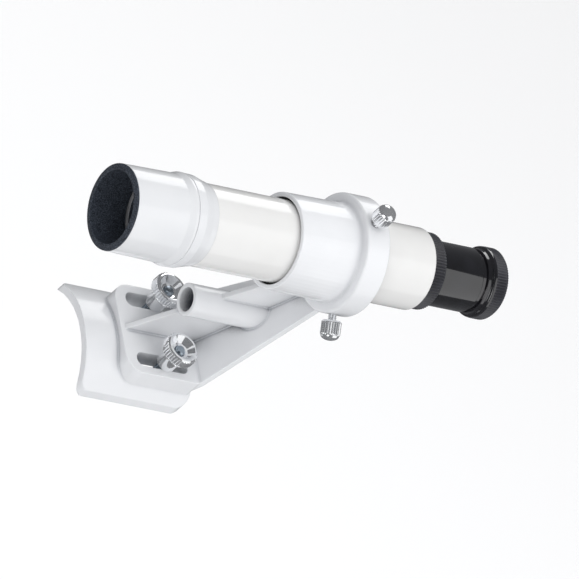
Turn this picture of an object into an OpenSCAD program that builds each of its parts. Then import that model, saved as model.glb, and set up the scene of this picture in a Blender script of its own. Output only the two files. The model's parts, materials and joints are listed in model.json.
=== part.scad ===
// Finder scope with a 24 mm objective: a small refractor carried in a one-piece moulded bracket.
// Millimetres. The origin is the crest of the telescope tube midway between the two mounting
// bolts. +Y runs along the optical axis from the objective to the eyepiece, +Z points from the
// telescope tube up to the finder, and +X is across.

/* [Placing] */
// Height of the optical axis above the crest of the telescope tube
axis_h = 72.3; // [70:0.1:75]
// Distance from the mounting bolts forward to the front of the dew shield
reach_front = 66; // [64:0.5:70]

/* [Scope tube] */
// Outer diameter of the main tube
tube_d = 29.3; // [29:0.1:29.5]
// Wall of the main tube
tube_wall = 1.2; // [1:0.1:1.4]
// Length of the whole main tube
tube_l = 101.7; // [100:0.1:103]
// Outer diameter at the front of the dew shield
dew_front_d = 30.8; // [30.4:0.1:31]
// Outer diameter of the band where the dew shield meets the objective cell
band_d = 33.2; // [32.6:0.1:33.6]
// Length of the dew shield
dew_l = 24.8; // [24:0.1:26]

/* [Optics] */
// Diameter of the objective lens
objective_d = 24; // [23:0.5:24]
// Diameter of the field lens and of the eye lens
eyepiece_lens_d = 19.8; // [19:0.1:19.8]
// Diameter of the opening that the eye looks through
eye_opening_d = 11; // [8:0.5:12]

/* [Eyepiece] */
// Outer diameter of the eyepiece barrel
barrel_d = 23; // [22.8:0.1:23.2]
// Outer diameter of the knurled cap on the eyepiece
cap_d = 25.6; // [25:0.1:26.2]
// Outer diameter of the knurled focus lock ring
lock_ring_d = 27.4; // [27:0.1:28]

/* [Bracket] */
// Radius of the telescope tube that the foot is curved to fit
seat_r = 28; // [27.5:0.5:31]
// Thickness of the curved foot plate
plate_t = 3; // [2.5:0.1:3.2]
// Width of the foot plate
foot_w = 43.6; // [42:0.2:45]
// Width of the raised pad on the foot
pad_w = 36; // [35:0.5:37]
// Height of the top of the pad above the crest of the telescope tube
pad_h = 5.6; // [5.4:0.1:6]
// Distance between the two slots, centre to centre
slot_gap = 24.4; // [24:0.1:25]
// Width of each slot
slot_w = 5.6; // [5.2:0.1:5.8]
// Thickness of the upright web
web_t = 2; // [1.8:0.1:2.4]
// Thickness of the rear flange
flange_t = 2.6; // [2.2:0.1:2.8]
// Outer diameter of the tubular boss
boss_d = 11.7; // [11:0.1:12]
// Bore of the tubular boss
boss_bore_d = 8.6; // [8:0.1:9]
// Outer diameter of the ring that holds the alignment screws
ring_d = 42.6; // [42:0.1:43]
// Bore of the sleeve around the main tube
sleeve_bore_d = 31; // [30.9:0.1:31.2]

/* [Screws] */
// Thread diameter of the alignment screws
align_d = 3; // [2.9:0.1:3]
// Head diameter of the alignment screws
align_head_d = 7.2; // [6.6:0.1:7.6]
// Thread diameter of the mounting bolts
bolt_d = 4; // [3.9:0.1:4]
// Rim diameter of the thumb nuts
nut_d = 13; // [12:0.1:13.4]

/* [Hidden] */

$fn = 96;
fine = 0.05;         // running clearance between pieces that slide or turn on each other
over = 1;            // how far a cutting tool runs past the face it cuts
arc_steps = 8;       // straight steps in a rounded corner of an outline

// Stations along the optical axis
front_y = -reach_front;
seam_y = front_y + 1 + dew_l;
cell_rear_y = seam_y + 10.2;
tube_front_y = seam_y + 1;
tube_rear_y = tube_front_y + tube_l;
lock_rear_y = tube_rear_y + 5.4;
barrel_rear_y = tube_rear_y + 22.8;
cap_front_y = barrel_rear_y + 2;
rear_y = cap_front_y + 8.9;
sleeve_front_y = 3.2;
ring_front_y = 28;
ring_rear_y = 37.7;
pivot_y = sleeve_front_y + 1.5;
align_y = 31.7;

// Radii about the optical axis
tube_r = tube_d / 2;
tube_bore_r = tube_r - tube_wall;
lens_r = objective_d / 2;
small_lens_r = eyepiece_lens_d / 2;
barrel_r = barrel_d / 2;
barrel_bore_r = small_lens_r + 0.1;
neck_r = barrel_r - 0.8;
cap_r = cap_d / 2;
lock_r = lock_ring_d / 2;
ring_r = ring_d / 2;
sleeve_bore_r = sleeve_bore_d / 2;
liner_bore_r = lens_r + 0.95;
dew_bore_r = liner_bore_r + 1;
cell_nose_r = dew_bore_r - fine;
lens_clear_r = lens_r - 1.1;
small_clear_r = small_lens_r - 1.5;

// Bracket arm
foot_front_y = -30.5;
foot_rear_y = 15;
pad_front_y = -16.7;
pad_rear_y = 14.4;
sleeve_wall = 1.65;
ring_wall = 3;
slot_front_y = -12.1;
slot_rear_y = 9.5;
web_front_y = -15.5;
web_rise = 1.3;
flange_foot_y = 13.8;
flange_top_y = 35.3;
flange_foot_w = 35.4;
flange_top_w = 17.6;
arm_drop = axis_h - ring_r - pad_h;
flange_lean = atan2(arm_drop, flange_top_y - flange_foot_y);
boss_front_y = -4.4;
boss_h = axis_h - 43.9;
boss_bore_l = 22;
foot_front_corner_r = 3;
foot_rear_corner_r = 5;
pad_front_corner_r = 6.5;
pad_rear_corner_r = 1.5;

// Screws
align_tip_r = tube_r + 0.45;
align_head_r0 = 23.4;
align_head_l = 7.1;
nut_hub_r = 3.75;
nut_flutes = 40;
nut_disc_h = 7.3;
nut_rim_h = 10.9;
nut_h = 11.6;
nut_dish_r = 5.2;
bolt_head_r = 3.6;
bolt_head_t = 2.2;
telescope_wall = 1.5;
bolt_top = pad_h + 10;

function arc(cx, cy, r, from, to, steps = arc_steps) =
    [for (i = [0:steps]) let (a = from + (to - from) * i / steps) [cx + r * cos(a), cy + r * sin(a)]];

// Points of a lens outline with a flat rim. Each face is curved inside the clear radius and stands
// out by its bow at the axis.
function lens_outline(r, clear_r, y_a, bow_a, y_b, bow_b, steps = 14) = concat(
    [for (i = [0:steps]) let (q = i / steps) [clear_r * q, y_a - bow_a * (1 - q * q)]],
    [[r, y_a], [r, y_b]],
    [for (i = [0:steps]) let (q = 1 - i / steps) [clear_r * q, y_b + bow_b * (1 - q * q)]]
);

// Turns an outline of [radius, station] points about the optical axis
module turned(points) {
    translate([0, 0, axis_h])
        rotate([-90, 0, 0])
            rotate_extrude($fn = 128)
                polygon(points);
}

module turned_ring(r_out, r_in, y_a, y_b) {
    turned([[r_in, y_a], [r_out, y_a], [r_out, y_b], [r_in, y_b]]);
}

// A rod along Y from station y_a to y_b
module rod_y(r, y_a, y_b, x = 0, z = 0) {
    translate([x, y_a, z])
        rotate([-90, 0, 0])
            cylinder(r = r, h = y_b - y_a);
}

// Moves children from the Z axis to the radial line at angle turn from straight up
module on_ring(turn) {
    translate([0, align_y, axis_h])
        rotate([0, turn, 0])
            children();
}

module rounded_plan(w, y_a, y_b, r_front, r_rear) {
    polygon(concat(
        arc(w / 2 - r_rear, y_b - r_rear, r_rear, 0, 90),
        arc(-w / 2 + r_rear, y_b - r_rear, r_rear, 90, 180),
        arc(-w / 2 + r_front, y_a + r_front, r_front, 180, 270),
        arc(w / 2 - r_front, y_a + r_front, r_front, 270, 360)
    ));
}

// ---- Bracket ----

module foot_plate() {
    intersection() {
        rod_y(seat_r + plate_t, foot_front_y, foot_rear_y, z = -seat_r);
        translate([0, 0, -seat_r])
            linear_extrude(seat_r + plate_t + over)
                rounded_plan(foot_w, foot_front_y, foot_rear_y, foot_front_corner_r, foot_rear_corner_r);
    }
}

module pad() {
    translate([0, 0, -seat_r / 3])
        linear_extrude(pad_h + seat_r / 3)
            rounded_plan(pad_w, pad_front_y, pad_rear_y, pad_front_corner_r, pad_rear_corner_r);
}

// Cuts for the two bolts, right through the pad
module slot_cuts() {
    r = slot_w / 2;
    for (x = [-slot_gap / 2, slot_gap / 2])
        translate([x, 0, -seat_r / 3])
            linear_extrude(pad_h + seat_r / 3 + over)
                union() {
                    translate([0, slot_front_y + r])
                        circle(r);
                    translate([0, slot_rear_y - r])
                        circle(r);
                    translate([-r, slot_front_y + r])
                        square([slot_w, slot_rear_y - slot_front_y - slot_w]);
                }
}

// Upright web between the foot and the sleeve; its rear edge lies inside the rear flange
module web() {
    bottom = pad_h - 0.6;
    top = axis_h - sleeve_bore_r - 0.5;
    rear_edge_y = flange_foot_y + flange_t / 2;
    translate([-web_t / 2, 0, 0])
        rotate([90, 0, 90])
            linear_extrude(web_t)
                polygon([
                    [web_front_y, bottom],
                    [rear_edge_y, bottom],
                    [rear_edge_y + (top - bottom) / tan(flange_lean), top],
                    [web_front_y + (top - bottom) / web_rise, top]
                ]);
}

module rear_flange() {
    below = 8;
    above = 6;
    rise = arm_drop / sin(flange_lean);
    taper = (flange_foot_w - flange_top_w) / 2 / rise;
    translate([0, flange_foot_y, pad_h])
        rotate([flange_lean, 0, 0])
            translate([0, 0, -flange_t])
                linear_extrude(flange_t)
                    polygon([
                        [-flange_foot_w / 2, -below],
                        [flange_foot_w / 2, -below],
                        [flange_foot_w / 2, 0],
                        [flange_top_w / 2 - taper * above, rise + above],
                        [-flange_top_w / 2 + taper * above, rise + above],
                        [-flange_foot_w / 2, 0]
                    ]);
}

// Tube moulded along the web, cut off flush inside the flange
module boss() {
    behind = 40;
    difference() {
        rod_y(boss_d / 2, boss_front_y, flange_top_y, z = boss_h);
        translate([0, flange_foot_y, pad_h])
            rotate([flange_lean, 0, 0])
                translate([-behind / 2, 0, -behind - flange_t / 2])
                    cube([behind, 2 * behind, behind]);
    }
}

module sleeve_and_ring() {
    sleeve_front_r = sleeve_bore_r + sleeve_wall;
    sleeve_rear_r = sleeve_front_r + 0.4;
    fillet = 1;
    edge = 0.8;
    turned(concat(
        [[sleeve_bore_r - over, ring_rear_y], [sleeve_bore_r - over, sleeve_front_y]],
        arc(sleeve_front_r - 0.4, sleeve_front_y + 0.4, 0.4, 270, 360),
        arc(sleeve_rear_r + fillet, ring_front_y - fillet, fillet, 180, 90),
        arc(ring_r - edge, ring_front_y + edge, edge, 270, 360),
        arc(ring_r - edge, ring_rear_y - edge, edge, 0, 90)
    ));
}

module bracket() {
    color("whitesmoke")
        difference() {
            union() {
                foot_plate();
                pad();
                web();
                rear_flange();
                boss();
                sleeve_and_ring();
            }
            rod_y(seat_r, foot_front_y - over, ring_rear_y + over, z = -seat_r);
            slot_cuts();
            rod_y(boss_bore_d / 2, boss_front_y - over, boss_front_y + boss_bore_l, z = boss_h);
            turned_ring(sleeve_bore_r, 0, sleeve_front_y - over, ring_rear_y + over);
            turned_ring(ring_r - ring_wall, 0, ring_front_y + 1, ring_rear_y + over);
            translate([-ring_r, ring_rear_y, axis_h - ring_d])
                cube(ring_d);
            for (turn = [0, 120, 240])
                on_ring(turn)
                    cylinder(r = align_d / 2 + fine, h = ring_r + over);
        }
}

// ---- Pivot ----

module pivot_o_ring() {
    gap = sleeve_bore_r - tube_r;
    cord_r = gap / 2 - 0.03;
    color("black")
        translate([0, 0, axis_h])
            rotate([-90, 0, 0])
                rotate_extrude($fn = 128)
                    translate([tube_r + gap / 2, pivot_y])
                        circle(cord_r, $fn = 32);
}

// ---- Scope tube and objective ----

module main_tube() {
    edge = 1.4;
    color("ivory")
        turned(concat(
            [[tube_bore_r, tube_front_y], [tube_r, tube_front_y]],
            arc(tube_r - edge, tube_rear_y - edge, edge, 0, 80),
            [[tube_bore_r - 0.6, tube_rear_y], [tube_bore_r - 0.6, tube_rear_y - 1.2]],
            [[tube_bore_r, tube_rear_y - 1.2]]
        ));
}

module dew_shield() {
    front = front_y + 1;
    flare_y = seam_y - 3.6;
    band_r = band_d / 2;
    front_r = dew_front_d / 2;
    color("white")
        turned([
            [dew_bore_r, seam_y],
            [dew_bore_r, front],
            [front_r, front],
            [front_r + 0.4, flare_y],
            [front_r + 0.55, flare_y + 0.6],
            [band_r - 0.25, flare_y + 1.9],
            [band_r, flare_y + 2.6],
            [band_r - 0.05, seam_y - 0.25],
            [band_r - 0.3, seam_y]
        ]);
}

module dew_shield_liner() {
    rim_r = dew_front_d / 2;
    color("darkslategray")
        turned([
            [liner_bore_r, front_y + 15],
            [liner_bore_r, front_y + 0.25],
            [liner_bore_r + 0.25, front_y],
            [liner_bore_r + 1, front_y + 0.05],
            [rim_r - 0.5, front_y + 0.4],
            [rim_r - 0.05, front_y + 0.8],
            [rim_r - 0.05, front_y + 1],
            [dew_bore_r, front_y + 1],
            [dew_bore_r, front_y + 15]
        ]);
}

module objective_cell() {
    band_r = band_d / 2;
    bow_l = cell_rear_y - seam_y - 3;
    color("white")
        turned(concat(
            [
                [lens_r + fine, seam_y - 9.5],
                [cell_nose_r, seam_y - 9.5],
                [cell_nose_r, seam_y],
                [band_r - 0.3, seam_y],
                [band_r - 0.05, seam_y + 0.25],
                [band_r - 0.2, seam_y + 3]
            ],
            [for (i = [1:arc_steps]) let (a = 90 * i / arc_steps)
                [tube_r + (band_r - 0.2 - tube_r) * cos(a), seam_y + 3 + bow_l * sin(a)]],
            [
                [tube_r, tube_front_y],
                [lens_r - 1, tube_front_y],
                [lens_r - 1, tube_front_y - 1],
                [lens_r + fine, tube_front_y - 1]
            ]
        ));
}

// Stations of the lens pack, from the shoulder in the cell forward
pack_rear_y = tube_front_y - 1;
rear_lens_edge_y = pack_rear_y - 2.2;
foil_t = 0.3;
front_lens_rear_y = rear_lens_edge_y - foil_t;
front_lens_edge_y = front_lens_rear_y - 2.4;

module objective_front_lens() {
    color("lightblue", 0.5)
        turned(lens_outline(lens_r, lens_clear_r, front_lens_edge_y, 1.1, front_lens_rear_y, 0));
}

module objective_rear_lens() {
    color("lightcyan", 0.5)
        turned(lens_outline(lens_r, lens_clear_r, rear_lens_edge_y, -0.6, pack_rear_y, 0.2));
}

module lens_spacer_foil() {
    color("silver")
        turned_ring(lens_r, lens_r - 0.8, front_lens_rear_y, rear_lens_edge_y);
}

module objective_retaining_ring() {
    color("black")
        turned_ring(lens_r + fine, lens_r - 1, front_lens_edge_y - 1.6, front_lens_edge_y);
}

module aperture_stop() {
    y = 12;
    color("black")
        turned([
            [8, y],
            [tube_bore_r, y],
            [tube_bore_r, y + 5],
            [tube_bore_r - 0.8, y + 5],
            [tube_bore_r - 0.8, y + 0.8],
            [8, y + 0.8]
        ]);
}

// ---- Focuser and eyepiece ----

module eyepiece_socket() {
    lip = tube_bore_r - 0.6;
    color("black")
        turned([
            [barrel_r + fine, tube_rear_y - 12],
            [tube_bore_r, tube_rear_y - 12],
            [tube_bore_r, tube_rear_y - 1.2],
            [lip, tube_rear_y - 1.2],
            [lip, tube_rear_y],
            [barrel_r + fine, tube_rear_y]
        ]);
}

module focus_lock_ring() {
    edge = 0.5;
    color("black")
        turned(concat(
            [[barrel_r + fine, tube_rear_y + fine]],
            arc(lock_r - edge, tube_rear_y + fine + edge, edge, 270, 360, 3),
            arc(lock_r - edge, lock_rear_y - edge, edge, 0, 90, 3),
            [[barrel_r + fine, lock_rear_y]]
        ));
}

module eyepiece_barrel() {
    edge = 0.5;
    color("black")
        turned(concat(
            [[barrel_bore_r, tube_rear_y - 10], [barrel_r, tube_rear_y - 10]],
            arc(barrel_r - edge, barrel_rear_y - edge, edge, 0, 90, 4),
            [[neck_r, barrel_rear_y], [neck_r, cap_front_y + 3], [barrel_bore_r, cap_front_y + 3]]
        ));
}

module eyepiece_cap() {
    seat_y = rear_y - 3.6;
    rear_edge = 2;
    color("black")
        turned(concat(
            [[neck_r, cap_front_y], [neck_r + 0.4, cap_front_y]],
            arc(barrel_r - 0.7, cap_front_y + 1.5, 1.5, 290, 360, 4),
            [for (i = [0:6]) let (a = 15 * i)
                [barrel_r + 0.8 + (cap_r - barrel_r - 0.8) * sin(a), cap_front_y + 3.2 - 1.5 * cos(a)]],
            arc(cap_r - rear_edge, rear_y - rear_edge, rear_edge, 0, 90),
            [
                [eye_opening_d / 2 + 3.2, rear_y],
                [eye_opening_d / 2, seat_y + 1.2],
                [eye_opening_d / 2, seat_y],
                [barrel_bore_r, seat_y],
                [barrel_bore_r, cap_front_y + 3],
                [neck_r, cap_front_y + 3]
            ]
        ));
}

// Stations of the stack inside the barrel
field_stop_y = tube_rear_y + 8;
wire_r = 0.1;
field_ring_y = field_stop_y + 3.4;
field_lens_y = field_ring_y + 1.6;
spacer_y = field_lens_y + 3.2;
eye_lens_y = rear_y - 6.4;

module field_stop() {
    color("black")
        turned_ring(barrel_bore_r, small_lens_r - 2.8, field_stop_y, field_stop_y + 1.4);
}

module crosshair() {
    y = field_stop_y + 1.4 + wire_r;
    l = small_lens_r - 2.2;
    color("dimgray")
        translate([0, y, axis_h])
            union() {
                translate([0, 0, -l])
                    cylinder(r = wire_r, h = 2 * l, $fn = 16);
                translate([-l, 0, 0])
                    rotate([0, 90, 0])
                        cylinder(r = wire_r, h = 2 * l, $fn = 16);
            }
}

module field_lens_retaining_ring() {
    color("black")
        turned_ring(barrel_bore_r, small_lens_r - 1.4, field_ring_y, field_lens_y);
}

module field_lens() {
    color("lightcyan", 0.5)
        turned(lens_outline(small_lens_r, small_clear_r, field_lens_y, 0.9, spacer_y, 0));
}

module eyepiece_spacer() {
    color("black")
        turned_ring(small_lens_r, small_lens_r - 1.1, spacer_y, eye_lens_y);
}

module eye_lens() {
    color("lightcyan", 0.5)
        turned(lens_outline(small_lens_r, small_clear_r, eye_lens_y, -0.4, eye_lens_y + 2.8, 0));
}

// ---- Screws, bolts and nuts ----

// Knurled round head with straight flutes, turned about Z from z = 0 up
module fluted(r, h, flutes, depth) {
    difference() {
        cylinder(r = r, h = h);
        for (i = [0:flutes - 1])
            rotate([0, 0, 360 * i / flutes])
                translate([r + depth * 0.6, 0, -over])
                    cylinder(r = depth * 1.6, h = h + 2 * over, $fn = 4);
    }
}

module alignment_screw(turn) {
    dome = 1.3;
    color("silver")
        on_ring(turn)
            union() {
                translate([0, 0, align_tip_r])
                    cylinder(r = align_d / 2, h = align_head_r0 + 0.5 - align_tip_r);
                translate([0, 0, align_head_r0])
                    fluted(align_head_d / 2, align_head_l - dome, 20, 0.35);
                translate([0, 0, align_head_r0 + align_head_l - dome])
                    rotate_extrude()
                        polygon(concat([[0, 0]],
                            [for (i = [0:6]) let (a = 15 * i)
                                [(align_head_d / 2 - 0.3) * cos(a) ^ 0.6, dome * sin(a)]]));
            }
}

module alignment_screw_top() {
    alignment_screw(0);
}

module alignment_screw_left() {
    alignment_screw(240);
}

module alignment_screw_right() {
    alignment_screw(120);
}

// Bolt that comes up through the wall of the telescope tube from its head inside that tube
module mounting_bolt(x) {
    under = sqrt(seat_r ^ 2 - (slot_gap / 2 + bolt_head_r) ^ 2) - seat_r - telescope_wall;
    tip = 0.5;
    color("silver")
        translate([x, 0, 0])
            rotate_extrude()
                polygon([
                    [0, under - bolt_head_t],
                    [bolt_head_r - 0.6, under - bolt_head_t],
                    [bolt_head_r, under - bolt_head_t + 0.6],
                    [bolt_head_r, under],
                    [bolt_d / 2, under],
                    [bolt_d / 2, bolt_top - tip],
                    [bolt_d / 2 - tip, bolt_top],
                    [0, bolt_top]
                ]);
}

module mounting_bolt_left() {
    mounting_bolt(-slot_gap / 2);
}

module mounting_bolt_right() {
    mounting_bolt(slot_gap / 2);
}

module thumb_nut(x) {
    bore_r = bolt_d / 2 + fine;
    rim_r = nut_d / 2;
    color("silver")
        translate([x, 0, pad_h])
            difference() {
                rotate_extrude()
                    polygon([
                        [bore_r, fine],
                        [nut_hub_r - 0.3, fine],
                        [nut_hub_r, fine + 0.3],
                        [nut_hub_r, nut_disc_h - 0.4],
                        [nut_hub_r + 0.4, nut_disc_h],
                        [rim_r - 0.4, nut_disc_h],
                        [rim_r, nut_disc_h + 0.4],
                        [rim_r, nut_rim_h - 0.2],
                        [rim_r - 0.15, nut_rim_h],
                        [nut_dish_r + 0.15, nut_h],
                        [nut_dish_r - 0.15, nut_h],
                        [bore_r + 0.5, nut_h - 2.7],
                        [bore_r, nut_h - 2.7]
                    ]);
                for (i = [0:nut_flutes - 1])
                    rotate([0, 0, 360 * i / nut_flutes])
                        translate([rim_r + 0.2, 0, nut_disc_h - over])
                            cylinder(r = 0.5, h = nut_rim_h - nut_disc_h + over - 0.5, $fn = 4);
            }
}

module thumb_nut_left() {
    thumb_nut(-slot_gap / 2);
}

module thumb_nut_right() {
    thumb_nut(slot_gap / 2);
}

bracket();
pivot_o_ring();
main_tube();
dew_shield();
dew_shield_liner();
objective_cell();
objective_front_lens();
objective_rear_lens();
lens_spacer_foil();
objective_retaining_ring();
aperture_stop();
eyepiece_socket();
focus_lock_ring();
eyepiece_barrel();
eyepiece_cap();
field_stop();
crosshair();
field_lens_retaining_ring();
field_lens();
eyepiece_spacer();
eye_lens();
alignment_screw_top();
alignment_screw_left();
alignment_screw_right();
mounting_bolt_left();
mounting_bolt_right();
thumb_nut_left();
thumb_nut_right();
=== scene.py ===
"""Finder scope in its bracket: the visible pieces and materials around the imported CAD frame.

Metres, in the frame's own axes: +Y runs along the optical axis from objective to eyepiece, +Z from
the telescope tube up to the finder. Outlines below are in millimetres as (radius, station) corners.
"""

import json
import math

import bmesh
import bpy
from mathutils import Matrix, Vector


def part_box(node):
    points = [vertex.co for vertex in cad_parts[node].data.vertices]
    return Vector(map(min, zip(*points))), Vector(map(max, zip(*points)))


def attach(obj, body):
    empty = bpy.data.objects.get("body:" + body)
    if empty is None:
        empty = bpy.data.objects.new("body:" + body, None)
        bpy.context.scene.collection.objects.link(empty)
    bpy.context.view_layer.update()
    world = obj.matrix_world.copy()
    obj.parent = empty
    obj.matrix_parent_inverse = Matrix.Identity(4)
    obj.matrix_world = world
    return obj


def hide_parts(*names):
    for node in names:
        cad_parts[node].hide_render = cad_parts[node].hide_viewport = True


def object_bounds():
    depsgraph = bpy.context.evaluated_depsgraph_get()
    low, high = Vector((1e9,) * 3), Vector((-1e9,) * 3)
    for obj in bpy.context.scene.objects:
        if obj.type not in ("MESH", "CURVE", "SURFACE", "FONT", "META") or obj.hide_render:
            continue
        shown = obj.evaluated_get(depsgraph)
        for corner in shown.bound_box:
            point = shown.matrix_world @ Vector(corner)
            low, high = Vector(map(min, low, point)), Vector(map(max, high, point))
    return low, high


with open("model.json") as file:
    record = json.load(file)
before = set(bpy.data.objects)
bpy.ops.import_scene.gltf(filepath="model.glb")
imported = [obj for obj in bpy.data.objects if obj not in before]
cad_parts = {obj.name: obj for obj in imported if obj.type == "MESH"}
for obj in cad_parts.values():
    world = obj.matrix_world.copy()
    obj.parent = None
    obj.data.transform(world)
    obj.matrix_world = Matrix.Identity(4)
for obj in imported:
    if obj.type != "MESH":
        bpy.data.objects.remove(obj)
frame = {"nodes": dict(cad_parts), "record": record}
cad_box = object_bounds()

MM = 0.001
ARC_STEPS = 6  # straight steps in a rounded corner
TURN_STEPS = 224  # straight steps around a plain turned piece
RIDGE_STEPS = 8  # straight steps around one knurl or flute
BOLT_TURN_STEPS = 64  # straight steps around a bolt
DOME_STEPS = 8  # straight steps from a dome's edge to its top
THREAD_STEPS = 6  # straight steps along one turn of a thread
CORNER_SHARE = 0.48  # the most of a straight side that one rounded corner takes
SMOOTH_ANGLE = math.radians(35)  # edges sharper than this stay crisp

# Sizes in millimetres that pieces share
CLEARANCE = 0.05  # between pieces that slide or turn on each other
RIM_OVERHANG = 1.4  # how far the liner's rim stands out over its tube
NECK_STEP = 0.8  # how far the neck that carries the cap is set in from the barrel


# ---- Places taken from the frame ----


def station(node, end):
    """Y of a node's front (end 0) or rear (end 1), in millimetres."""
    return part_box(node)[end][1] / MM


def radius(node):
    """Outer radius of a node turned about the optical axis, in millimetres."""
    low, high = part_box(node)
    return (high[0] - low[0]) / 2 / MM


def joint_axis(name):
    """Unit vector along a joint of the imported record."""
    joint = next(j for j in frame["record"]["behaviour"]["joints"] if j["name"] == name)
    return Vector(joint["axis"]).normalized()


tube_low, tube_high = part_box("main_tube")
AXIS_H = (tube_low[2] + tube_high[2]) / 2
OPTICAL = Matrix.Translation((0, 0, AXIS_H)) @ Matrix.Rotation(math.radians(-90), 4, "X")


# ---- Materials ----


def shader(name, **values):
    """A new material, its node tree and its main shader with the values given on the shader's sockets."""
    material = bpy.data.materials.new(name)
    material.use_nodes = True
    tree = material.node_tree
    main = tree.nodes["Principled BSDF"]
    for socket, value in values.items():
        main.inputs[socket.replace("_", " ")].default_value = value
    return material, tree, main


def noise_at(tree, scale, detail=3.0, stretch=(1, 1, 1)):
    """Noise over object space with scale features per metre; stretch scales each axis."""
    place = tree.nodes.new("ShaderNodeTexCoord")
    mapping = tree.nodes.new("ShaderNodeMapping")
    mapping.inputs["Scale"].default_value = stretch
    texture = tree.nodes.new("ShaderNodeTexNoise")
    texture.inputs["Scale"].default_value = scale
    texture.inputs["Detail"].default_value = detail
    tree.links.new(place.outputs["Object"], mapping.inputs["Vector"])
    tree.links.new(mapping.outputs["Vector"], texture.inputs["Vector"])
    return texture


def colour_from(tree, main, texture, dark, light, spread=(0.35, 0.65)):
    """Base colour that runs from dark to light with the texture."""
    ramp = tree.nodes.new("ShaderNodeValToRGB")
    ramp.color_ramp.elements[0].position = spread[0]
    ramp.color_ramp.elements[1].position = spread[1]
    ramp.color_ramp.elements[0].color = (*dark, 1)
    ramp.color_ramp.elements[1].color = (*light, 1)
    tree.links.new(texture.outputs["Fac"], ramp.inputs["Fac"])
    tree.links.new(ramp.outputs["Color"], main.inputs["Base Color"])


def roughness_from(tree, main, texture, low, high):
    """Roughness that runs from low to high with the texture.

    The white and the knurled finishes keep clear of 0.27: a range across it rendered as sharp-edged
    flakes, for a reason that wasn't found.
    """
    remap = tree.nodes.new("ShaderNodeMapRange")
    remap.inputs["From Min"].default_value = 0.3
    remap.inputs["From Max"].default_value = 0.7
    remap.inputs["To Min"].default_value = low
    remap.inputs["To Max"].default_value = high
    tree.links.new(texture.outputs["Fac"], remap.inputs["Value"])
    tree.links.new(remap.outputs["Result"], main.inputs["Roughness"])


def bump_from(tree, main, texture, depth_mm):
    """Surface relief of the texture, depth_mm high."""
    bump = tree.nodes.new("ShaderNodeBump")
    bump.inputs["Strength"].default_value = 1.0
    bump.inputs["Distance"].default_value = depth_mm * MM
    tree.links.new(texture.outputs["Fac"], bump.inputs["Height"])
    tree.links.new(bump.outputs["Normal"], main.inputs["Normal"])


def paint_recess_shade(tree, main, reach_mm, dark, limits):
    """Painted shade: base colour darkened where the piece's own surfaces close in within reach.

    The colour is multiplied by dark where the openness is below the first limit and kept above the second.
    This is painted shade, not the piece's own colour: the studio's soft light alone leaves its recesses too
    pale.
    """
    openness = tree.nodes.new("ShaderNodeAmbientOcclusion")
    openness.samples = 8
    openness.only_local = True
    openness.inputs["Distance"].default_value = reach_mm * MM
    ramp = tree.nodes.new("ShaderNodeValToRGB")
    ramp.color_ramp.elements[0].position = limits[0]
    ramp.color_ramp.elements[0].color = (*dark, 1)
    ramp.color_ramp.elements[1].position = limits[1]
    mix = tree.nodes.new("ShaderNodeVectorMath")
    mix.operation = "MULTIPLY"
    # the base colour before the painted shade is multiplied in
    unshaded_colour = main.inputs["Base Color"].links[0].from_socket
    tree.links.new(openness.outputs["AO"], ramp.inputs["Fac"])
    tree.links.new(unshaded_colour, mix.inputs[0])
    tree.links.new(ramp.outputs["Color"], mix.inputs[1])
    tree.links.new(mix.outputs["Vector"], main.inputs["Base Color"])


def gloss_white(name, dark, light, roughness, coat_roughness=0.06):
    """Glossy white paint or moulding: faint clouding, a soft waviness and a clear top layer."""
    material, tree, main = shader(name, Coat_Weight=0.35, Coat_Roughness=coat_roughness,
                                  Specular_IOR_Level=0.5)
    colour_from(tree, main, noise_at(tree, 45), dark, light)
    roughness_from(tree, main, noise_at(tree, 160), roughness - 0.04, roughness + 0.05)
    bump_from(tree, main, noise_at(tree, 420, detail=2), 0.004)
    return material


def moulded_white():
    """Glossy white moulding, with painted shade in its deep slots and painted shade lines along its inside
    corners.
    """
    material = gloss_white("bracket_white", (0.77, 0.78, 0.80), (0.80, 0.81, 0.83), 0.21, coat_roughness=0.1)
    tree = material.node_tree
    main = tree.nodes["Principled BSDF"]
    # painted shade: deep slots and bores darkened within 10 mm reach
    paint_recess_shade(tree, main, 10, (0.05, 0.055, 0.075), (0.24, 0.54))
    # painted shade: thin dark lines along the inside corners
    paint_recess_shade(tree, main, 1.6, (0.38, 0.40, 0.45), (0.5, 0.9))
    return material


def matte_black():
    """Flocked and painted black with light specks."""
    material, tree, main = shader("matte_black", Specular_IOR_Level=0.35)
    colour_from(tree, main, noise_at(tree, 2600, detail=6), (0.012, 0.015, 0.021), (0.10, 0.118, 0.15),
                spread=(0.40, 0.72))
    roughness_from(tree, main, noise_at(tree, 900), 0.42, 0.7)
    bump_from(tree, main, noise_at(tree, 2600, detail=4), 0.06)
    return material


def gloss_black():
    """Polished black moulding with faint swirls."""
    material, tree, main = shader("gloss_black", Coat_Weight=1.0, Coat_Roughness=0.03, Coat_IOR=1.6)
    colour_from(tree, main, noise_at(tree, 120), (0.003, 0.003, 0.004), (0.008, 0.008, 0.011))
    roughness_from(tree, main, noise_at(tree, 260, stretch=(1, 0.2, 1)), 0.07, 0.15)
    bump_from(tree, main, noise_at(tree, 500, detail=2), 0.008)
    return material


def knurled_black():
    """Satin black of the grips, worn a little paler in patches."""
    material, tree, main = shader("knurled_black", Specular_IOR_Level=0.6)
    colour_from(tree, main, noise_at(tree, 150, detail=2), (0.03, 0.03, 0.036), (0.05, 0.051, 0.06))
    roughness_from(tree, main, noise_at(tree, 900), 0.29, 0.4)
    bump_from(tree, main, noise_at(tree, 2400, detail=3), 0.002)
    return material


def rubber_black():
    """Dull black rubber."""
    material, tree, main = shader("rubber_black", Specular_IOR_Level=0.3)
    colour_from(tree, main, noise_at(tree, 1200), (0.008, 0.008, 0.008), (0.022, 0.021, 0.02))
    roughness_from(tree, main, noise_at(tree, 800), 0.55, 0.75)
    bump_from(tree, main, noise_at(tree, 2500), 0.02)
    return material


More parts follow.
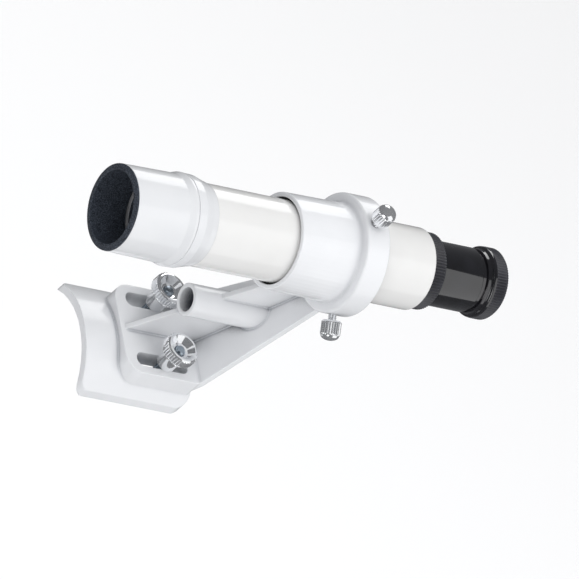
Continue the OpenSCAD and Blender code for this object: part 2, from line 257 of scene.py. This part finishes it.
def plated(name, dark, light, roughness, metallic=1.0):
    """Bright plated metal with fine polishing marks."""
    material, tree, main = shader(name, Metallic=metallic)
    colour_from(tree, main, noise_at(tree, 300), dark, light)
    roughness_from(tree, main, noise_at(tree, 1500, stretch=(1, 1, 0.25)), roughness, roughness + 0.07)
    bump_from(tree, main, noise_at(tree, 900, detail=4), 0.004)
    return material


def glass():
    """Clear lens glass with faint surface marks."""
    material, tree, main = shader("lens_glass", Transmission_Weight=1.0, IOR=1.52, Coat_Weight=0.3)
    colour_from(tree, main, noise_at(tree, 80), (0.90, 0.95, 0.93), (0.94, 0.98, 0.97))
    roughness_from(tree, main, noise_at(tree, 400), 0.0, 0.02)
    bump_from(tree, main, noise_at(tree, 300), 0.0005)
    return material


MATERIALS = {
    "bracket_white": moulded_white(),
    "cell_white": gloss_white("cell_white", (0.73, 0.74, 0.76), (0.765, 0.775, 0.79), 0.18),
    "tube_ivory": gloss_white("tube_ivory", (0.76, 0.757, 0.747), (0.79, 0.788, 0.78), 0.16),
    "matte_black": matte_black(),
    "gloss_black": gloss_black(),
    "knurled_black": knurled_black(),
    "rubber_black": rubber_black(),
    "chrome_plate": plated("chrome_plate", (0.91, 0.92, 0.94), (0.96, 0.97, 0.98), 0.07, metallic=0.88),
    "lens_glass": glass(),
    "spacer_foil": plated("spacer_foil", (0.70, 0.70, 0.71), (0.80, 0.80, 0.81), 0.2),
    "reticle_wire": plated("reticle_wire", (0.20, 0.20, 0.21), (0.30, 0.30, 0.31), 0.3),
}
STUD_STEEL = plated("stud_steel", (0.36, 0.42, 0.48), (0.52, 0.58, 0.64), 0.2)


# ---- Turned pieces ----


def outline(corners):
    """Closed outline from (radius, station, rounding, relief) corners; rounding and relief may be left out.

    Each corner is cut to an arc. Relief is how much of the piece's knurl or thread the corner takes, and
    runs evenly between corners.
    """
    full = [tuple(corner) + (0,) * (4 - len(corner)) for corner in corners]
    points = []
    for index, (r, y, rounding, relief) in enumerate(full):
        here = Vector((r, y))
        back = Vector(full[index - 1][:2]) - here
        ahead = Vector(full[(index + 1) % len(full)][:2]) - here
        if not rounding:
            points.append((r, y, relief))
            continue
        reach = min(rounding / math.tan(back.angle(ahead) / 2), CORNER_SHARE * back.length,
                    CORNER_SHARE * ahead.length)
        start = here + back.normalized() * reach
        end = here + ahead.normalized() * reach
        for step in range(ARC_STEPS + 1):
            t = step / ARC_STEPS
            at = start * (1 - t) ** 2 + here * 2 * t * (1 - t) + end * t**2
            points.append((at.x, at.y, relief))
    return points


def lathe(name, points, place, steps, relief=None):
    """Mesh object turned about the local Z of place from a closed outline.

    relief(angle, station) gives how far the surface moves in, in millimetres, where a point's own
    relief is 1.
    """
    work = bmesh.new()
    rings = []
    for step in range(steps):
        angle = 2 * math.pi * step / steps
        ring = []
        for r, y, share in points:
            here = r - (share * relief(angle, y) if share else 0)
            ring.append(work.verts.new((here * MM * math.cos(angle), here * MM * math.sin(angle), y * MM)))
        rings.append(ring)
    count = len(points)
    for step, ring in enumerate(rings):
        after = rings[(step + 1) % steps]
        for index in range(count):
            following = (index + 1) % count
            work.faces.new((ring[index], after[index], after[following], ring[following]))
    bmesh.ops.remove_doubles(work, verts=work.verts, dist=0.0001 * MM)
    bmesh.ops.recalc_face_normals(work, faces=work.faces)
    mesh = bpy.data.meshes.new(name)
    work.to_mesh(mesh)
    work.free()
    mesh.transform(place)
    return shaded(name, mesh)


def shaded(name, mesh):
    """Links the mesh as an object, smooth but for its sharp edges."""
    mesh.shade_smooth()
    mesh.set_sharp_from_angle(angle=SMOOTH_ANGLE)
    piece = bpy.data.objects.new(name, mesh)
    bpy.context.scene.collection.objects.link(piece)
    return piece


def stand_in(piece, body, slot, *nodes, material=None):
    """piece rides on the body, shows instead of the CAD nodes and takes the slot's finish."""
    piece.data.materials.append(material or MATERIALS[slot])
    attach(piece, body)
    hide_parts(*nodes)


def finish_where(piece, finish, chosen):
    """A second finish on the faces whose middle passes the test."""
    piece.data.materials.append(MATERIALS[finish])
    for face in piece.data.polygons:
        if chosen(face.center):
            face.material_index = 1


def ridges(count, depth):
    """Relief of count rounded ridges with narrow valleys between them, depth mm deep."""
    return lambda angle, _station: depth * math.cos(count * angle / 2) ** 2


def thread(pitch, depth):
    """Relief of a right-hand thread."""

    def cut(angle, at):
        turn = (at / pitch - angle / (2 * math.pi)) % 1
        return depth * abs(2 * turn - 1)

    return cut


def threaded_run(r, start, end, pitch):
    """Outline points along a thread, fine enough to carry its relief."""
    count = math.ceil(abs(end - start) / pitch * THREAD_STEPS)
    return [(r, start + (end - start) * step / count, 1) for step in range(count + 1)]


# ---- Scope ----


def make_dew_shield():
    front = station("dew_shield", 0)
    seam = station("dew_shield", 1)
    band_r = radius("dew_shield")
    band_step = 1.2
    front_r = band_r - band_step
    bore_r = radius("dew_shield_liner") - RIM_OVERHANG - CLEARANCE
    flare = seam - 3.6
    piece = lathe("dew_shield_shell", outline([
        (bore_r, seam, 0),
        (bore_r, front, 0),
        (front_r, front, 0.25),
        (front_r + 0.4, flare, 1.6),
        (band_r, flare + 2.5, 1.1),
        (band_r - 0.03, seam - 0.1, 0.28),
        (band_r - 0.8, seam - 0.02, 0),
    ]), OPTICAL, TURN_STEPS)
    stand_in(piece, "scope", "cell_white", "dew_shield")


def make_liner():
    front = station("dew_shield_liner", 0)
    rear = station("dew_shield_liner", 1)
    rim_r = radius("dew_shield_liner")
    wall = 1.0
    bore_r = rim_r - RIM_OVERHANG - wall
    piece = lathe("dew_shield_rim", outline([
        (bore_r, rear, 0),
        (bore_r, front + 0.1, 0.3),
        (bore_r + 0.75, front + 0.02, 0.4),
        (rim_r, front + 0.5, 0.4),
        (rim_r, front + 1, 0),
        (bore_r + wall, front + 1, 0),
        (bore_r + wall, rear, 0),
    ]), OPTICAL, TURN_STEPS)
    stand_in(piece, "scope", "matte_black", "dew_shield_liner")


def make_cell():
    front = station("objective_cell", 0)
    rear = station("objective_cell", 1)
    seam = station("dew_shield", 1)
    band_r = radius("objective_cell")
    tube_r = radius("main_tube")
    bore_r = radius("objective_front_lens") + CLEARANCE
    nose_wall = 0.9
    lens_lip = 1.05
    piece = lathe("objective_cell_shell", outline([
        (bore_r, front, 0),
        (bore_r + nose_wall, front, 0),
        (bore_r + nose_wall, seam + 0.02, 0),
        (band_r - 0.8, seam + 0.02, 0),
        (band_r - 0.02, seam + 0.12, 0.28),
        (band_r - 0.15, seam + 3.4, 1.2),
        (tube_r + 0.75, rear - 3.4, 3.0),
        (tube_r + 0.02, rear, 0.5),
        (tube_r, seam + 1, 0),
        (bore_r - lens_lip, seam + 1, 0),
        (bore_r - lens_lip, seam, 0),
        (bore_r, seam, 0),
    ]), OPTICAL, TURN_STEPS)
    stand_in(piece, "scope", "cell_white", "objective_cell")
    finish_where(piece, "matte_black", lambda at: at.y < (seam - 0.05) * MM)


def make_tube():
    front = station("main_tube", 0)
    rear = station("main_tube", 1)
    tube_r = radius("main_tube")
    wall = 1.2
    bore_r = tube_r - wall
    rear_lip = 0.6
    lip_t = 1.2
    piece = lathe("main_tube_shell", outline([
        (bore_r, front, 0),
        (tube_r, front, 0),
        (tube_r, (front + rear) / 2, 0),
        (tube_r, rear, 1.3),
        (bore_r - rear_lip, rear, 0),
        (bore_r - rear_lip, rear - lip_t, 0),
        (bore_r, rear - lip_t, 0),
    ]), OPTICAL, TURN_STEPS)
    stand_in(piece, "scope", "tube_ivory", "main_tube")


# ---- Focuser and eyepiece ----

KNURLS = 78
KNURL_DEPTH = 0.5


def make_lock_ring():
    front = station("focus_lock_ring", 0)
    rear = station("focus_lock_ring", 1)
    ring_r = radius("focus_lock_ring")
    bore_r = radius("eyepiece_barrel") + CLEARANCE
    piece = lathe("focus_lock_knurled_ring", outline([
        (bore_r, front, 0),
        (ring_r - 0.45, front, 0.1),
        (ring_r, front + 0.45, 0.15, 1),
        (ring_r, rear - 0.55, 0.2, 1),
        (ring_r - 0.7, rear, 0.2, 0.4),
        (bore_r + 1.0, rear, 0.2),
        (bore_r, rear - 0.3, 0),
    ]), OPTICAL, KNURLS * RIDGE_STEPS, ridges(KNURLS, KNURL_DEPTH))
    stand_in(piece, "lock_ring", "knurled_black", "focus_lock_ring")


def make_barrel():
    front = station("eyepiece_barrel", 0)
    rear = station("eyepiece_cap", 0)
    end = station("eyepiece_barrel", 1)
    barrel_r = radius("eyepiece_barrel")
    bore_r = radius("eye_lens") + 0.1
    neck_r = barrel_r - NECK_STEP
    shoulder = rear - 2
    piece = lathe("eyepiece_barrel_tube", outline([
        (bore_r, front, 0),
        (barrel_r, front, 0.3),
        (barrel_r, (front + shoulder) / 2, 0),
        (barrel_r, shoulder, 0.5),
        (neck_r, shoulder, 0.2),
        (neck_r, end, 0),
        (bore_r, end, 0),
    ]), OPTICAL, TURN_STEPS)
    stand_in(piece, "eyepiece", "gloss_black", "eyepiece_barrel")


def make_cap():
    front = station("eyepiece_cap", 0)
    rear = station("eyepiece_cap", 1)
    cap_r = radius("eyepiece_cap")
    barrel_r = radius("eyepiece_barrel")
    lens_r = radius("eye_lens") + 0.1
    neck_r = barrel_r - NECK_STEP
    eye_r = 5.5
    seat = rear - 3.6
    knurl_front = front + 3.0
    piece = lathe("eyepiece_cap_knurled", outline([
        (neck_r, front, 0),
        (barrel_r - 0.1, front, 0.7),
        (barrel_r + 0.1, front + 1.5, 0.6),
        (cap_r - 0.15, front + 1.9, 1.1),
        (cap_r - 0.1, knurl_front - 0.1, 0.05),
        (cap_r, knurl_front + 0.25, 0.1, 1),
        (cap_r, rear - 1.9, 0.9, 1),
        (cap_r - 1.3, rear - 0.35, 0.6, 0.3),
        (cap_r - 2.6, rear, 0.6),
        (eye_r + 3.2, rear - 0.15, 0.5),
        (eye_r, seat + 1.2, 0.5),
        (eye_r, seat, 0),
        (lens_r, seat, 0),
        (lens_r, front + 3, 0),
        (neck_r, front + 3, 0),
    ]), OPTICAL, KNURLS * RIDGE_STEPS, ridges(KNURLS, KNURL_DEPTH))
    stand_in(piece, "eyepiece", "gloss_black", "eyepiece_cap", material=MATERIALS["knurled_black"])
    smooth_ends = ((knurl_front - 0.05) * MM, (rear - 0.5) * MM)
    finish_where(piece, "gloss_black", lambda at: not smooth_ends[0] <= at.y <= smooth_ends[1])


# ---- Screws, bolts and nuts ----

SCREW_FLUTES = 24
SCREW_FLUTE_DEPTH = 0.3
SCREW_PITCH = 0.5
SCREW_THREAD_DEPTH = 0.26
SCREW_TIP_GAP = 0.45  # from the main tube to a screw's tip
SCREW_HEAD_FROM_AXIS = 23.4  # from the optical axis to the underside of a screw's head
SCREW_HEAD_LENGTH = 7.1
BOLT_PITCH = 0.7
BOLT_THREAD_DEPTH = 0.3
BOLT_HEAD_T = 2.2
NUT_FLUTES = 34
NUT_FLUTE_DEPTH = 0.8


def dome(r, start, end):
    """Corners of a rounded end of radius r, from its edge at start to the axis at end."""
    turns = [math.pi / 2 * step / DOME_STEPS for step in range(DOME_STEPS + 1)]
    return [(r * math.cos(turn), start + (end - start) * math.sin(turn)) for turn in turns]


def screw_place(node, axis):
    """Place whose local Z runs outward along the axis, with its origin on the optical axis."""
    low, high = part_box(node)
    middle_y = (low[1] + high[1]) / 2
    turn = math.atan2(axis.x, axis.z)
    return Matrix.Translation((0, middle_y, AXIS_H)) @ Matrix.Rotation(turn, 4, "Y")


def make_alignment_screw(side):
    """Thumb screw with a fluted head and a polished domed end."""
    node = f"alignment_screw_{side}"
    axis = joint_axis(f"align_{side}_travel")
    low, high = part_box(node)
    head_r = (high[1] - low[1]) / 2 / MM
    place = screw_place(node, axis)
    flutes = ridges(SCREW_FLUTES, SCREW_FLUTE_DEPTH)
    cut_thread = thread(SCREW_PITCH, SCREW_THREAD_DEPTH)
    tip = radius("main_tube") + SCREW_TIP_GAP
    head = SCREW_HEAD_FROM_AXIS
    end = head + SCREW_HEAD_LENGTH
    shank_r = 1.5
    piece = lathe(f"alignment_screw_{side}_turned", [
        (0, tip, 0),
        (shank_r - 0.5, tip, 0),
        *threaded_run(shank_r, tip + 0.5, head - 0.3, SCREW_PITCH),
        *outline([
            (shank_r - 0.1, head, 0.1),
            (head_r - 0.6, head, 0.15),
            (head_r - 0.05, head + 0.5, 0.25, 0.9),
            (head_r, head + 0.8, 0.1, 1),
            (head_r, end - 2.2, 0.3, 1),
            (head_r - 0.3, end - 1.75, 0.2, 0),
            *dome(head_r - 0.35, end - 1.7, end),
        ]),
    ], place, SCREW_FLUTES * RIDGE_STEPS, lambda angle, at: (
        cut_thread(angle, at) if at < head else flutes(angle, at)
    ))
    stand_in(piece, f"align_{side}", "chrome_plate", node)


def upright(node):
    """Place with its origin under a node's middle, at the height of the frame's origin."""
    low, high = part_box(node)
    return Matrix.Translation(((low[0] + high[0]) / 2, (low[1] + high[1]) / 2, 0))


def make_bolt(side):
    """Round-headed bolt whose threaded end stands in the thumb nut."""
    node = f"mounting_bolt_{side}"
    low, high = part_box(node)
    bottom = low[2] / MM
    top = high[2] / MM
    head_r = (high[0] - low[0]) / 2 / MM
    shank_r = 2.0
    under = bottom + BOLT_HEAD_T
    piece = lathe(f"mounting_bolt_{side}_turned", [
        (0, bottom, 0),
        *outline([
            (head_r - 0.7, bottom, 0.5),
            (head_r, bottom + 0.8, 0.4),
            (head_r, under, 0.1),
            (shank_r, under, 0),
        ]),
        *threaded_run(shank_r, under + 0.3, top - 0.5, BOLT_PITCH),
        (shank_r - 0.5, top - 0.08, 0),
        (shank_r - 0.75, top, 0),
        (0, top, 0),
    ], upright(node), BOLT_TURN_STEPS, thread(BOLT_PITCH, BOLT_THREAD_DEPTH))
    stand_in(piece, f"bolt_{side}", "chrome_plate", node, material=STUD_STEEL)


def make_thumb_nut(side):
    """Thumb nut with a fluted rim, a bevelled ring and a polished conical dish."""
    node = f"thumb_nut_{side}"
    low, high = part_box(node)
    bottom = low[2] / MM
    top = high[2] / MM
    rim_r = (high[0] - low[0]) / 2 / MM
    disc = bottom + 7.25
    rim_top = top - 0.7
    hub_r = 3.75
    dish_r = 5.2
    bore_r = 2.05
    piece = lathe(f"thumb_nut_{side}_turned", outline([
        (bore_r, bottom, 0),
        (hub_r - 0.05, bottom, 0.3),
        (hub_r, disc, 0.5),
        (rim_r - 0.55, disc, 0.15),
        (rim_r, disc + 0.4, 0.15, 1),
        (rim_r, rim_top - 0.15, 0.1, 1),
        (rim_r - 0.45, rim_top + 0.12, 0.12),
        (dish_r + 0.5, top - 0.12, 0.2),
        (dish_r, top, 0.15),
        (dish_r - 0.35, top - 0.12, 0.12),
        (bore_r + 1.0, top - 2.35, 0.4),
        (bore_r, top - 2.6, 0.15),
    ]), upright(node), NUT_FLUTES * RIDGE_STEPS, ridges(NUT_FLUTES, NUT_FLUTE_DEPTH))
    stand_in(piece, f"nut_{side}", "chrome_plate", node)


# ---- Bracket ----

VOXEL = 0.26 * MM
SOFTENING = 2  # rounds of smoothing, which set how far edges are rounded


def make_bracket():
    """The moulding with its edges and inner corners softened, as it leaves the mould."""
    source = frame["nodes"]["bracket"]
    rough = bpy.data.objects.new("bracket_rough", source.data.copy())
    bpy.context.scene.collection.objects.link(rough)
    remesh = rough.modifiers.new("remesh", "REMESH")
    remesh.mode = "VOXEL"
    remesh.voxel_size = VOXEL
    settle = rough.modifiers.new("settle", "SHRINKWRAP")
    settle.target = source
    settle.wrap_method = "NEAREST_SURFACEPOINT"
    soften = rough.modifiers.new("soften", "SMOOTH")
    soften.factor = 0.5
    soften.iterations = SOFTENING
    evaluated = rough.evaluated_get(bpy.context.evaluated_depsgraph_get())
    mesh = bpy.data.meshes.new_from_object(evaluated)
    mesh.materials.clear()
    mesh.shade_smooth()
    bpy.data.objects.remove(rough)
    piece = bpy.data.objects.new("bracket_moulding", mesh)
    bpy.context.scene.collection.objects.link(piece)
    stand_in(piece, "bracket", "bracket_white", "bracket")


# ---- CAD nodes that stay ----


def dress_kept_nodes():
    """Gives each CAD node that still shows the material of its slot."""
    for part in frame["record"]["subparts"]:
        node = frame["nodes"][part["node"]]
        material = MATERIALS[part["material_slot"]]
        for index in range(len(node.data.materials)):
            node.material_slots[index].material = material


# ---- Stage ----

FLOOR_DROP = 0.30  # the floor lies this far under the object, so that no shadow of it shows


def make_floor():
    size = 60.0
    mesh = bpy.data.meshes.new("floor")
    height = cad_box[0][2] - FLOOR_DROP
    corners = [(-size, -size, height), (size, -size, height), (size, size, height), (-size, size, height)]
    mesh.from_pydata(corners, [], [(0, 1, 2, 3)])
    floor = bpy.data.objects.new("floor", mesh)
    bpy.context.scene.collection.objects.link(floor)
    material, tree, main = shader("floor_white", Roughness=0.9)
    colour_from(tree, main, noise_at(tree, 0.5), (0.93, 0.93, 0.935), (0.95, 0.95, 0.95))
    mesh.materials.append(material)
    floor.visible_glossy = False


def make_light(name, centre, aim, size, power, colour=(1, 1, 1)):
    """Rectangular softbox at centre, facing aim. power is in watts."""
    data = bpy.data.lights.new(name, "AREA")
    data.shape = "RECTANGLE"
    data.size, data.size_y = size
    data.energy = power
    data.color = colour
    light = bpy.data.objects.new(name, data)
    facing = (Vector(centre) - Vector(aim)).to_track_quat("Z", "Y")
    light.matrix_world = Matrix.Translation(centre) @ facing.to_matrix().to_4x4()
    light.visible_camera = False
    bpy.context.scene.collection.objects.link(light)
    return light


def make_studio():
    world = bpy.data.worlds.new("studio")
    world.use_nodes = True
    background = world.node_tree.nodes["Background"]
    background.inputs["Color"].default_value = (0.93, 0.95, 1.0, 1)
    background.inputs["Strength"].default_value = 0.14
    bpy.context.scene.world = world
    middle = (0, 0.015, 0.06)
    make_light("key", (0.72, 0.56, 0.45), middle, (1.0, 1.6), 4.3)
    make_light("streak", (-0.42, 0.24, 0.22), (0, 0, 0.07), (0.18, 0.28), 0.35)
    make_light("front", (0.95, -1.1, 0.3), middle, (0.9, 0.9), 6.2)
    wash = make_light("wash", (0.0, 0.0, 3.0), (0, 0, -1), (6, 6), 165)
    wash.visible_glossy = False


def make_camera():
    """Long lens from the front right and above, rolled about its own axis so that up leans right."""
    azimuth, elevation, roll = map(math.radians, (41.18, 41.59, 48.74))
    distance = 5.119
    aim = Vector((0.00965, 0.01682, 0.05905))
    data = bpy.data.cameras.new("camera")
    data.sensor_width = 36
    data.lens = 916.7
    data.clip_end = 200
    camera = bpy.data.objects.new("camera", data)
    turn = Matrix.Rotation(azimuth, 4, "Z") @ Matrix.Rotation(math.pi / 2 - elevation, 4, "X")
    turn = turn @ Matrix.Rotation(roll, 4, "Z")
    back = turn.to_3x3() @ Vector((0, 0, 1))
    camera.matrix_world = Matrix.Translation(aim + back * distance) @ turn
    bpy.context.scene.collection.objects.link(camera)
    bpy.context.scene.camera = camera


make_bracket()
make_dew_shield()
make_liner()
make_cell()
make_tube()
make_lock_ring()
make_barrel()
make_cap()
for side in ("top", "left", "right"):
    make_alignment_screw(side)
for side in ("left", "right"):
    make_bolt(side)
    make_thumb_nut(side)
dress_kept_nodes()
make_floor()
make_studio()
make_camera()
bpy.context.scene.view_settings.view_transform = "Standard"
